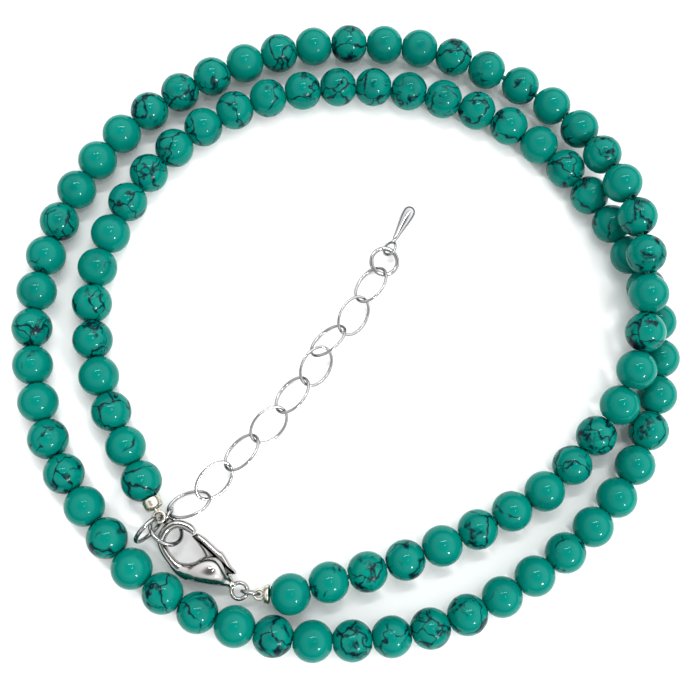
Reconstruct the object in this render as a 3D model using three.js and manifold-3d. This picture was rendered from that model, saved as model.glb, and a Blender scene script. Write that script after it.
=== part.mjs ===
// A strung necklace of round stone beads with a lobster clasp and an extender chain.
// It lies fastened on a table, wound in two turns. Millimetres, +Z up, resting on z = 0.
import * as THREE from 'three';
import { mergeVertices } from 'three/addons/utils/BufferGeometryUtils.js';
import Module from 'manifold-3d';

const wasm = await Module();
wasm.setup();

// Beads and their thread.
const beadRadius = 2.15;
const beadHalfLength = 1.93;
const beadSides = 8;
const beadBands = 4;
const threadRadius = 0.35;
const threadSides = 5;
const strandCount = 8;

// Metal rings and chain links: wire diameters, and radii to the middle of the wire.
const ringWire = 0.45;
const smallRingWire = 0.4;
const linkWire = 0.35;
const endRingWire = 0.5;
const linkHalfLength = 2.28;
const linkHalfWidth = 1.58;

// Lobster clasp, in its own frame: x runs from the hook's end to the eye, y towards the lever.
const claspMiddle = 1.7;
const limbThickness = 1.44;
const limbBevel = 0.16;
const cheekThickness = 2.3;
const domeCentre = new THREE.Vector3(7.0, -0.35, -0.15);
const domeSize = new THREE.Vector3(2.0, 1.45, 1.9);
const eyeCentre = new THREE.Vector2(10.4, 0.05);
const eyeRadius = 1.05;
const eyeHole = 0.6;
const eyeThickness = 0.7;

// Its sprung lever.
const pivot = new THREE.Vector2(6.7, 0.45);
const leverThickness = 1.1;
const slotWidth = 1.3;
const trunnionRadius = 0.32;
const trunnionLength = 2.0;
const trunnionPlay = 0.08;

// Colours.
const stoneGreen = 0x12a08c;
const silver = 0xd6d7da;

const group = new THREE.Group();

function place(name, geometry, material) {
  const mesh = new THREE.Mesh(geometry, material);
  mesh.name = name;
  group.add(mesh);
}

function degrees(angle) {
  return THREE.MathUtils.degToRad(angle);
}

function metal() {
  return new THREE.MeshStandardMaterial({ color: silver, roughness: 0.15, metalness: 1 });
}

// A closed three.js geometry as a manifold solid, in the place a matrix gives it.
function toSolid(geometry, matrix = new THREE.Matrix4()) {
  let bare = geometry.clone().applyMatrix4(matrix);
  bare.deleteAttribute('normal');
  bare.deleteAttribute('uv');
  bare = mergeVertices(bare, 1e-4);
  const index = bare.index.array;
  const faces = [];
  for (let i = 0; i < index.length; i += 3) {
    const [a, b, c] = [index[i], index[i + 1], index[i + 2]];
    if (a !== b && b !== c && c !== a) faces.push(a, b, c);
  }
  const vertProperties = new Float32Array(bare.attributes.position.array);
  return new wasm.Manifold(new wasm.Mesh({
    numProp: 3,
    vertProperties,
    triVerts: new Uint32Array(faces),
  }));
}

function toGeometry(solid) {
  const mesh = solid.getMesh();
  const geometry = new THREE.BufferGeometry();
  geometry.setAttribute('position', new THREE.BufferAttribute(mesh.vertProperties, 3));
  geometry.setIndex(new THREE.BufferAttribute(mesh.triVerts, 1));
  return geometry;
}

function join(solids) {
  return solids.reduce((whole, solid) => whole.add(solid));
}

// ---- The string's route ----

// Turn is the angle round the coil in degrees, radius and height are in millimetres. The first
// turn starts at the clasp's eye, climbs over the second turn on the right and lands outside it.
const route = [
  { turn: 258, radius: 29.2, height: 2.15 },
  { turn: 266, radius: 27.4, height: 2.15 },
  { turn: 282, radius: 25.9, height: 2.15 },
  { turn: 300, radius: 25.8, height: 2.15 },
  { turn: 318, radius: 27.4, height: 2.15 },
  { turn: 326, radius: 28.2, height: 2.15 },
  { turn: 334, radius: 29.0, height: 2.3 },
  { turn: 342, radius: 30.2, height: 3.4 },
  { turn: 350, radius: 31.0, height: 4.7 },
  { turn: 358, radius: 31.5, height: 5.6 },
  { turn: 368, radius: 32.2, height: 6.25 },
  { turn: 378, radius: 32.9, height: 6.25 },
  { turn: 386, radius: 33.5, height: 5.6 },
  { turn: 394, radius: 34.0, height: 4.35 },
  { turn: 402, radius: 34.6, height: 2.9 },
  { turn: 410, radius: 34.6, height: 2.25 },
  { turn: 420, radius: 34.2, height: 2.15 },
  { turn: 436, radius: 33.7, height: 2.15 },
  { turn: 457, radius: 33.0, height: 2.15 },
  { turn: 478, radius: 32.8, height: 2.15 },
  { turn: 499, radius: 33.5, height: 2.15 },
  { turn: 520, radius: 33.8, height: 2.15 },
  { turn: 541, radius: 34.1, height: 2.15 },
  { turn: 562, radius: 34.1, height: 2.15 },
  { turn: 582, radius: 33.9, height: 2.15 },
  { turn: 594, radius: 34.3, height: 2.15 },
  { turn: 608, radius: 33.9, height: 2.15 },
  { turn: 625, radius: 33.4, height: 2.15 },
  { turn: 646, radius: 33.1, height: 2.15 },
  { turn: 667, radius: 33.1, height: 2.15 },
  { turn: 686, radius: 34.0, height: 2.15 },
  { turn: 704, radius: 34.3, height: 2.15 },
  { turn: 720, radius: 33.9, height: 2.15 },
  { turn: 733, radius: 32.5, height: 2.15 },
  { turn: 748, radius: 31.1, height: 2.15 },
  { turn: 766, radius: 30.0, height: 2.15 },
  { turn: 787, radius: 28.6, height: 2.15 },
  { turn: 810, radius: 27.8, height: 2.15 },
  { turn: 835, radius: 27.9, height: 2.15 },
  { turn: 860, radius: 28.1, height: 2.15 },
  { turn: 885, radius: 28.1, height: 2.15 },
  { turn: 905, radius: 27.6, height: 2.15 },
  { turn: 921, radius: 27.0, height: 2.15 },
  { turn: 938, radius: 27.6, height: 2.15 },
];

// How far along the string a bead's centre is. They sit a little looser where it climbs.
const spacing = [
  { bead: 0, along: 0 },
  { bead: 13, along: 53.6 },
  { bead: 21, along: 88.1 },
  { bead: 47, along: 194.4 },
  { bead: 91, along: 373.1 },
];
const beadCount = 92;

const routePoints = route.map(({ turn, radius, height }) => {
  const angle = degrees(turn);
  return new THREE.Vector3(radius * Math.cos(angle), radius * Math.sin(angle), height);
});
const string = new THREE.CatmullRomCurve3(routePoints, false, 'catmullrom', 0.5);
string.arcLengthDivisions = 4000;

// The share of the string's length at which bead number n sits.
function beadShare(n) {
  const after = Math.max(1, spacing.findIndex(({ bead }) => bead >= n));
  const [from, to] = [spacing[after - 1], spacing[after]];
  const along = THREE.MathUtils.mapLinear(n, from.bead, to.bead, from.along, to.along);
  return along / spacing.at(-1).along;
}

// Bead number n sits at this matrix, its hole along the string.
function beadMatrix(n) {
  const u = beadShare(n);
  const along = string.getTangentAt(u);
  const side = new THREE.Vector3(0, 0, 1).cross(along).normalize().negate();
  const up = new THREE.Vector3().crossVectors(side, along);
  return new THREE.Matrix4().makeBasis(side, along, up).setPosition(string.getPointAt(u));
}

// A ball with its two poles ground flat round the drilled hole.
function beadGeometry() {
  const flatAngle = Math.acos(beadHalfLength / beadRadius);
  const profile = [new THREE.Vector2(0, -beadHalfLength)];
  for (let band = 0; band <= beadBands; band += 1) {
    const angle = flatAngle + (Math.PI - 2 * flatAngle) * (band / beadBands);
    const height = -beadRadius * Math.cos(angle);
    profile.push(new THREE.Vector2(beadRadius * Math.sin(angle), height));
  }
  profile.push(new THREE.Vector2(0, beadHalfLength));
  return new THREE.LatheGeometry(profile, beadSides);
}

// The stretch of thread from one bead's centre to another's.
function threadGeometry(first, last) {
  const points = [];
  for (let n = first; n <= last; n += 1) points.push(string.getPointAt(beadShare(n)));
  const stretch = new THREE.CatmullRomCurve3(points);
  const section = new THREE.Shape();
  for (let side = 0; side < threadSides; side += 1) {
    const angle = (2 * Math.PI * side) / threadSides;
    const [x, y] = [threadRadius * Math.cos(angle), threadRadius * Math.sin(angle)];
    if (side === 0) section.moveTo(x, y);
    else section.lineTo(x, y);
  }
  section.closePath();
  return new THREE.ExtrudeGeometry(section, { extrudePath: stretch, steps: last - first });
}

const bead = beadGeometry();
const stone = new THREE.MeshStandardMaterial({ color: stoneGreen, roughness: 0.25, metalness: 0 });
for (let strand = 0; strand < strandCount; strand += 1) {
  const first = Math.floor((strand * beadCount) / strandCount);
  const last = Math.floor(((strand + 1) * beadCount) / strandCount) - 1;
  const solids = [toSolid(threadGeometry(first, last))];
  for (let n = first; n <= last; n += 1) solids.push(toSolid(bead, beadMatrix(n)));
  place(`bead_strand_${strand + 1}`, toGeometry(join(solids)), stone);
}

// ---- Rings and chain links ----

// A wire ring; its axis leans by `tilt` degrees from upright towards the bearing `azimuth`.
function ringMatrix(centre, azimuth, tilt) {
  const turned = new THREE.Euler(0, degrees(tilt), degrees(azimuth), 'ZYX');
  return new THREE.Matrix4().makeRotationFromEuler(turned).setPosition(...centre);
}

function ringGeometry(radius, wire, matrix) {
  return new THREE.TorusGeometry(radius, wire / 2, 6, 18).applyMatrix4(matrix);
}

const rings = [
  { name: 'jump_ring_a', radius: 1.74, wire: ringWire, centre: [-20.77, -21.94, 2.25], azimuth: 316.5, tilt: 81 },
  { name: 'clasp_ring', radius: 1.8, wire: ringWire, centre: [-19.05, -22.01, 1.85], azimuth: 45.5, tilt: 48.5 },
  { name: 'extender_ring', radius: 0.85, wire: linkWire, centre: [-18.98, -20.55, 1.08], azimuth: 154, tilt: 88 },
  { name: 'jump_ring_b', radius: 0.9, wire: smallRingWire, centre: [-10.2, -28.4, 1.7], azimuth: 80.5, tilt: 90 },
  { name: 'extender_end_ring', radius: 1.475, wire: endRingWire, centre: [4.05, 7.42, 0.88], azimuth: 314, tilt: 7 },
];
for (const { name, radius, wire, centre, azimuth, tilt } of rings) {
  place(name, ringGeometry(radius, wire, ringMatrix(centre, azimuth, tilt)), metal());
}

// The way a lying piece points: heading on the table, nose lifted by pitch, rolled about its length.
function lyingMatrix(centre, heading, pitch, roll) {
  const turned = new THREE.Euler(degrees(roll), degrees(-pitch), degrees(heading), 'ZYX');
  return new THREE.Matrix4().makeRotationFromEuler(turned).setPosition(...centre);
}

// A ring of wire drawn out into an oval, its wire staying round.
function linkGeometry(halfLength, halfWidth, wire) {
  const oval = new THREE.TorusGeometry(1, wire / 2, 5, 18);
  const position = oval.attributes.position;
  for (let i = 0; i < position.count; i += 1) {
    const [x, y] = [position.getX(i), position.getY(i)];
    const around = Math.atan2(y, x);
    const outwards = Math.hypot(x, y) - 1;
    const normal = new THREE.Vector2(Math.cos(around) / halfLength, Math.sin(around) / halfWidth);
    normal.normalize().multiplyScalar(outwards);
    position.setX(i, halfLength * Math.cos(around) + normal.x);
    position.setY(i, halfWidth * Math.sin(around) + normal.y);
  }
  return oval;
}

// The extender chain, from the clasp's ring to its loose end.
const links = [
  { centre: [-16.84, -19.37, 1.21], heading: 18.5, pitch: 1.5, roll: -38 },
  { centre: [-14.29, -16.87, 1.02], heading: 48, pitch: 0, roll: 29.5 },
  { centre: [-11.44, -13.9, 1.08], heading: 49, pitch: 0, roll: -35 },
  { centre: [-8.57, -10.93, 1.04], heading: 45, pitch: 0, roll: 25 },
  { centre: [-6.09, -7.68, 1.02], heading: 52, pitch: -1, roll: -32 },
  { centre: [-3.52, -4.5, 0.93], heading: 60, pitch: 0, roll: 22.5 },
  { centre: [-2.23, -1.71, 1.23], heading: 43, pitch: 0, roll: -42 },
  { centre: [0.59, 1.15, 0.98], heading: 59, pitch: 0.5, roll: 27.5 },
  { centre: [2.51, 4.69, 1.01], heading: 58, pitch: -4, roll: -31 },
];
links.forEach(({ centre, heading, pitch, roll }, i) => {
  const matrix = lyingMatrix(centre, heading, pitch, roll);
  const geometry = linkGeometry(linkHalfLength, linkHalfWidth, linkWire).applyMatrix4(matrix);
  place(`extender_link_${i + 1}`, geometry, metal());
});

// A solid of revolution along the line between two points, pressed flatter by `flatness`; rows give
// radius and distance.
function turned(rows, from, to, segments, flatness = 1) {
  const profile = rows.map(([radius, along]) => new THREE.Vector2(radius, along));
  const line = new THREE.Vector3().subVectors(to, from).normalize();
  const side = new THREE.Vector3().crossVectors(line, new THREE.Vector3(0, 0, 1)).normalize();
  const up = new THREE.Vector3().crossVectors(side, line).multiplyScalar(flatness);
  const matrix = new THREE.Matrix4().makeBasis(side, line, up);
  return toSolid(new THREE.LatheGeometry(profile, segments), matrix.setPosition(from));
}

// ---- The drop on the extender's end ----

const dropLoop = { centre: [4.67, 8.93, 0.89], heading: 63, pitch: 2, roll: -41.5, radius: 0.785, wire: 0.33 };
const dropTop = new THREE.Vector3(5.02, 9.6, 0.92);
const dropTip = new THREE.Vector3(7.28, 13.97, 0.52);
const dropProfile = [
  [0, 0],
  [0.24, 0],
  [0.28, 0.6],
  [0.4, 1.6],
  [0.58, 2.6],
  [0.71, 3.4],
  [0.75, 4.05],
  [0.68, 4.5],
  [0.42, 4.83],
  [0, 4.95],
];
const dropRing = ringGeometry(dropLoop.radius, dropLoop.wire, lyingMatrix(
  dropLoop.centre, dropLoop.heading, dropLoop.pitch, dropLoop.roll));
place('drop', toGeometry(join([toSolid(dropRing), turned(dropProfile, dropTop, dropTip, 12, 0.72)])), metal());

// ---- The cups that close the string's two ends ----

// A cup cradles the end bead and ends in a flat-lying loop for a jump ring.
const cupRim = 2.18;
function endCup(name, beadNumber, loopCentre, loopRadius, loopWire, cupLength) {
  const from = string.getPointAt(beadShare(beadNumber));
  const to = new THREE.Vector3(...loopCentre);
  const neckEnd = from.distanceTo(to) - loopRadius;
  const profile = [
    [0, cupRim + 0.06],
    [0.8, cupRim - 0.04],
    [1.08, cupRim + 0.08],
    [1.02, cupRim + 0.55 * cupLength],
    [0.5, cupRim + 0.92 * cupLength],
    [0.2, cupRim + cupLength],
    [0.18, neckEnd],
    [0, neckEnd],
  ];
  const loop = new THREE.TorusGeometry(loopRadius, loopWire / 2, 6, 14);
  const loopSolid = toSolid(loop, new THREE.Matrix4().makeTranslation(to));
  place(name, toGeometry(join([turned(profile, from, to, 10), loopSolid])), metal());
}
endCup('end_cup_a', beadCount - 1, [-19.71, -20.72, 2.56], 0.55, 0.35, 1.15);
endCup('end_cup_b', 0, [-9.3, -28.58, 2.0], 0.5, 0.3, 0.55);

// ---- The lobster clasp ----

const claspMatrix = new THREE.Matrix4().makeRotationZ(degrees(-37.5)).setPosition(-19.62, -21.93, 0);

function outlineShape(points) {
  return new THREE.Shape(points.map(([x, y]) => new THREE.Vector2(x, y)));
}

// A flat shape with eased edges, centred on the clasp's middle height.
function plate(shape, thickness, bevel) {
  const depth = thickness - 2 * bevel;
  const settings = { depth, bevelThickness: bevel, bevelSize: bevel, bevelOffset: -bevel, bevelSegments: 1 };
  const geometry = new THREE.ExtrudeGeometry(shape, { ...settings, bevelEnabled: bevel > 0, steps: 1 });
  return toSolid(geometry.translate(0, 0, claspMiddle - depth / 2));
}

// The hook's limb from its end round to the body: x, y and half width.
const limbRows = [
  [3.05, 1.83, 0.34],
  [2.4, 1.9, 0.46],
  [1.6, 1.75, 0.46],
  [0.95, 1.35, 0.45],
  [0.57, 0.69, 0.47],
  [0.5, -0.08, 0.49],
  [0.72, -0.78, 0.46],
  [1.33, -1.3, 0.42],
  [2.15, -1.65, 0.42],
  [2.95, -1.84, 0.45],
  [3.67, -1.97, 0.55],
  [4.42, -1.85, 0.75],
  [5.2, -1.6, 0.9],
];
const limbLine = new THREE.CatmullRomCurve3(limbRows.map((row) => new THREE.Vector3(...row)));
const limbEdges = [[], []];
for (const point of limbLine.getPoints(24)) {
  const index = limbEdges[0].length;
  const along = limbLine.getTangent(index / 24).setZ(0).normalize();
  limbEdges[0].push([point.x - along.y * point.z, point.y + along.x * point.z]);
  limbEdges[1].unshift([point.x + along.y * point.z, point.y - along.x * point.z]);
}
const limb = plate(outlineShape(limbEdges.flat()), limbThickness, limbBevel);

// The body between hook and eye, with a dome swelling on both faces and a flat to lie on.
const bodyRows = [
  [4.95, 0.85],
  [5.6, 1.1],
  [6.4, 1.38],
  [7.25, 1.3],
  [8.05, 0.95],
  [8.8, 0.45],
  [8.95, -0.5],
  [8.16, -1.0],
  [7.2, -1.55],
  [6.15, -2.1],
  [5.3, -2.35],
  [4.5, -2.42],
  [4.1, -1.9],
  [4.15, -1.25],
  [4.75, -0.75],
  [5.0, 0.05],
];
const bodyLine = new THREE.CatmullRomCurve3(bodyRows.map(([x, y]) => new THREE.Vector3(x, y, 0)), true);
const bodyOutline = bodyLine.getPoints(32).slice(0, 32).map(({ x, y }) => [x, y]);
const cheeks = plate(outlineShape(bodyOutline), cheekThickness, 0.3);

const above = toSolid(new THREE.BoxGeometry(30, 30, 10).translate(0, 0, 5));
const domeMatrix = new THREE.Matrix4().makeScale(domeSize.x, domeSize.y, domeSize.z);
domeMatrix.setPosition(domeCentre.x, domeCentre.y, claspMiddle + domeCentre.z);
const dome = toSolid(new THREE.SphereGeometry(1, 18, 10).rotateX(Math.PI / 2), domeMatrix).intersect(above);

const neck = toSolid(new THREE.CylinderGeometry(0.34, 0.8, 1.7, 10)
  .rotateZ(-Math.PI / 2).scale(1, 0.9, 1).translate(8.9, eyeCentre.y, claspMiddle));
const cut = 0.12;
const [inner, outer, half] = [eyeHole, eyeRadius, eyeThickness / 2];
const eyeProfile = [
  [inner, -half + cut],
  [inner + cut, -half],
  [outer - cut, -half],
  [outer, -half + cut],
  [outer, half - cut],
  [outer - cut, half],
  [inner + cut, half],
  [inner, half - cut],
  [inner, -half + cut],
].map(([radius, height]) => new THREE.Vector2(radius, height));
const eye = toSolid(new THREE.LatheGeometry(eyeProfile, 16).rotateX(Math.PI / 2)
  .translate(eyeCentre.x, eyeCentre.y, claspMiddle));

// The slot the lever swings in, and the recesses for its two trunnions.
const slot = plate(outlineShape([
  [4.4, 2.8],
  [4.4, -0.45],
  [7.4, -0.45],
  [8.1, 0.1],
  [8.8, 0.72],
  [9.4, 0.95],
  [9.4, 2.8],
]), slotWidth, 0);
function trunnion(radius, length) {
  const pin = new THREE.CylinderGeometry(radius, radius, length, 12).rotateX(Math.PI / 2);
  return toSolid(pin.translate(pivot.x, pivot.y, claspMiddle));
}
const recess = trunnion(trunnionRadius + trunnionPlay, trunnionLength + 2 * trunnionPlay);
const claspSolid = join([limb, cheeks, dome, neck, eye]).subtract(slot).subtract(recess);
place('clasp_body', toGeometry(claspSolid).applyMatrix4(claspMatrix), metal());

// The lever: a bar that closes the hook, a boss on the pivot and a tab for the thumb.
const leverRows = [
  [3.33, 2.02],
  [4.2, 2.16],
  [5.2, 2.1],
  [6.2, 2.04],
  [6.6, 2.1],
  [7.35, 1.86],
  [8.1, 1.55],
  [9.05, 1.25],
  [8.85, 0.95],
  [8.2, 1.1],
  [7.6, 0.95],
  [7.42, 0.35],
  [7.2, -0.08],
  [6.7, -0.3],
  [6.2, -0.08],
  [5.9, 0.35],
  [5.03, 0.81],
  [4.13, 1.11],
  [3.09, 1.35],
  [3.19, 1.69],
];
const lever = plate(outlineShape(leverRows), leverThickness, 0.1).add(trunnion(trunnionRadius, trunnionLength));
place('clasp_lever', toGeometry(lever).applyMatrix4(claspMatrix), metal());

// The origin is the middle of the underside of the whole necklace.
const box = new THREE.Box3().setFromObject(group);
const middle = box.getCenter(new THREE.Vector3());
for (const mesh of group.children) mesh.geometry.translate(-middle.x, -middle.y, -box.min.z);

export default group;
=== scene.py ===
import math

import bmesh
import bpy
from mathutils import Euler, Matrix, Vector


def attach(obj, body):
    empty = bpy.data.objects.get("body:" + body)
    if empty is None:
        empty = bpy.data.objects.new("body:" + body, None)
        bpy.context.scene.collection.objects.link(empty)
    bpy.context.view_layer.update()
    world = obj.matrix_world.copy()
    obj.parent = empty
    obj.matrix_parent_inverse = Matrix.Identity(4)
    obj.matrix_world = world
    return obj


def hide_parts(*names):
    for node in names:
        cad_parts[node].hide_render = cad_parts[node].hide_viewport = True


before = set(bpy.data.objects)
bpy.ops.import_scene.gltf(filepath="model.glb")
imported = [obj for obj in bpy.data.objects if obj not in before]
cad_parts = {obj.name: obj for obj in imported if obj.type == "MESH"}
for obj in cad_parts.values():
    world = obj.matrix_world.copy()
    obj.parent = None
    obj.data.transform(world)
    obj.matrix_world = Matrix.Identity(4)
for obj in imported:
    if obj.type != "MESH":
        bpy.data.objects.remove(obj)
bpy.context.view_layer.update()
print("frame loaded")

mm = 0.001
coilCentre = Vector((0.0824, 0.0538, 0.0053)) * mm   # where the coil's own middle sits in the frame


def linearColour(hexCode, alpha=1.0):
    channels = [int(hexCode[i:i + 2], 16) / 255 for i in (1, 3, 5)]
    return [c / 12.92 if c <= 0.04045 else ((c + 0.055) / 1.055) ** 2.4 for c in channels] + [alpha]


def addNode(tree, kind, inputs=None, **settings):
    # Adds a node, sets its properties, and fills or links its inputs by name or number.
    node = tree.nodes.new(kind)
    for name, value in settings.items():
        setattr(node, name, value)
    for name, value in (inputs or {}).items():
        if isinstance(value, bpy.types.NodeSocket):
            tree.links.new(value, node.inputs[name])
        else:
            node.inputs[name].default_value = value
    return node


def newMaterial(name):
    material = bpy.data.materials.new(name)
    material.use_nodes = True
    tree = material.node_tree
    tree.nodes.clear()
    output = tree.nodes.new("ShaderNodeOutputMaterial")
    return material, tree, output


def setRamp(node, stops):
    # stops are (position, colour) pairs, in order.
    elements = node.color_ramp.elements
    while len(elements) > len(stops):
        elements.remove(elements[-1])
    while len(elements) < len(stops):
        elements.new(1.0)
    for element, (position, colour) in zip(elements, stops):
        element.position = position
        element.color = colour


def toMesh(name, verts, faces, matrix=None):
    mesh = bpy.data.meshes.new(name)
    mesh.from_pydata([tuple(v) for v in verts], [], faces)
    if matrix is not None:
        mesh.transform(matrix)
    work = bmesh.new()
    work.from_mesh(mesh)
    bmesh.ops.remove_doubles(work, verts=work.verts, dist=1e-7)
    bmesh.ops.recalc_face_normals(work, faces=work.faces)
    work.to_mesh(mesh)
    work.free()
    mesh.shade_smooth()
    return mesh


def toObject(mesh, material=None, sharpDegrees=None):
    obj = bpy.data.objects.new(mesh.name, mesh)
    bpy.context.scene.collection.objects.link(obj)
    if material is not None:
        mesh.materials.clear()
        mesh.materials.append(material)
    if sharpDegrees is not None:
        mesh.set_sharp_from_angle(angle=math.radians(sharpDegrees))
    return obj


def applyModifiers(obj):
    # The evaluated result becomes the object's own plain mesh.
    evaluated = obj.evaluated_get(bpy.context.evaluated_depsgraph_get())
    mesh = bpy.data.meshes.new_from_object(evaluated)
    obj.modifiers.clear()
    obj.data = mesh
    return obj


def finishPiece(obj, body, slot, *nodes):
    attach(obj, body)
    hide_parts(*nodes)


def camelName(name):
    words = name.split("_")
    return words[0] + "".join(word.capitalize() for word in words[1:])


def joinParts(parts):
    # Several (verts, faces) lists as one.
    verts, faces = [], []
    for partVerts, partFaces in parts:
        start = len(verts)
        verts += [Vector(v) for v in partVerts]
        faces += [[i + start for i in face] for face in partFaces]
    return verts, faces


def moved(part, matrix):
    verts, faces = part
    return [matrix @ Vector(v) for v in verts], faces


def lathe(profile, segments, closed=False):
    # Turns (radius, height) points about Z. A closed profile joins its last point to its first.
    verts = []
    for s in range(segments):
        angle = 2 * math.pi * s / segments
        verts += [Vector((r * math.cos(angle), r * math.sin(angle), z)) for r, z in profile]
    count = len(profile)
    faces = []
    for s in range(segments):
        a, b = s * count, ((s + 1) % segments) * count
        for i in range(count if closed else count - 1):
            j = (i + 1) % count
            faces.append([a + i, b + i, b + j, a + j])
    return verts, faces


def wireLoop(halfLength, halfWidth, wire, steps=72, sides=12, gapDegrees=0.0, gapAt=0.0):
    # A round wire bent into an oval in the XY plane, with a fine saw cut where gapDegrees is set.
    verts, faces = [], []
    count = steps if gapDegrees == 0 else steps + 1
    for i in range(count):
        if gapDegrees == 0:
            angle = 2 * math.pi * i / steps
        else:
            angle = math.radians(gapAt + gapDegrees / 2 + (360 - gapDegrees) * i / steps)
        centre = Vector((halfLength * math.cos(angle), halfWidth * math.sin(angle), 0))
        outwards = Vector((math.cos(angle) / halfLength, math.sin(angle) / halfWidth, 0)).normalized()
        for k in range(sides):
            turn = 2 * math.pi * k / sides
            verts.append(centre + wire / 2 * (outwards * math.cos(turn) + Vector((0, 0, math.sin(turn)))))
    for i in range(steps):
        a, b = i * sides, ((i + 1) % count) * sides
        for k in range(sides):
            n = (k + 1) % sides
            faces.append([a + k, a + n, b + n, b + k])
    if gapDegrees != 0:
        faces.append(list(range(sides)))
        faces.append(list(range(steps * sides, (steps + 1) * sides)))
    return verts, faces


def smoothLine(rows, count, closed=False):
    # A Catmull-Rom line of `count` steps through rows of any length.
    rows = [Vector(row) for row in rows]
    total = len(rows) if closed else len(rows) - 1
    points = []
    for i in range(count if closed else count + 1):
        place = total * i / count
        k = min(int(place), total - 1)
        t = place - k
        if closed:
            p0, p1, p2, p3 = (rows[(k + n) % total] for n in (-1, 0, 1, 2))
        else:
            p1, p2 = rows[k], rows[k + 1]
            p0 = rows[k - 1] if k > 0 else 2 * p1 - p2
            p3 = rows[k + 2] if k + 2 < len(rows) else 2 * p2 - p1
        m1, m2 = (p2 - p0) / 2, (p3 - p1) / 2
        points.append(p1 + m1 * t + (3 * (p2 - p1) - 2 * m1 - m2) * t ** 2
                      + (2 * (p1 - p2) + m1 + m2) * t ** 3)
    return points


def placedMatrix(centre, turn):
    # From a part's own frame to the coil's, both in mm, and on to metres.
    return Matrix.Translation(Vector(centre) * mm + coilCentre) @ turn @ Matrix.Scale(mm, 4)


def lyingMatrix(centre, heading, pitch, roll):
    # Heading on the table, nose lifted by pitch, rolled about its own length; centre in mm.
    turned = Euler((math.radians(roll), math.radians(-pitch), math.radians(heading)), "XYZ")
    return placedMatrix(centre, turned.to_matrix().to_4x4())


def ringMatrix(centre, azimuth, tilt):
    # The ring's axis leans by tilt from upright towards the azimuth.
    turned = Euler((0, math.radians(tilt), math.radians(azimuth)), "XYZ")
    return placedMatrix(centre, turned.to_matrix().to_4x4())


# Dyed howlite, tumbled to a high polish: glossy sea green, with the stone's own dark matrix
# showing as veins and blotches on some beads and hardly at all on others.
dyedStone = {
    "green": "#007368",
    "paleGreen": "#048273",
    "deepGreen": "#006059",
    "vein": "#031A26",
    "patchMm": 5.0,        # how far apart the soft changes of tone are
    "veinCellMm": 3.6,     # spacing of the vein web
    "veinWidth": 0.045,    # half width of a vein, as a share of that spacing
    "blotchMm": 2.6,
    "plainCutoff": 0.78,   # a plain bead shows veins only above this noise level, so hardly any
    "veinedDrop": 0.62,    # how far that level falls for the most veined bead
    "patchEdge": 0.08,     # how softly a veined patch begins
    "roughness": 0.07,
    "veinRoughness": 0.24,
    "index": 1.48,
    "gloss": 0.16,
    "veinDepthMm": 0.03,
}


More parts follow.
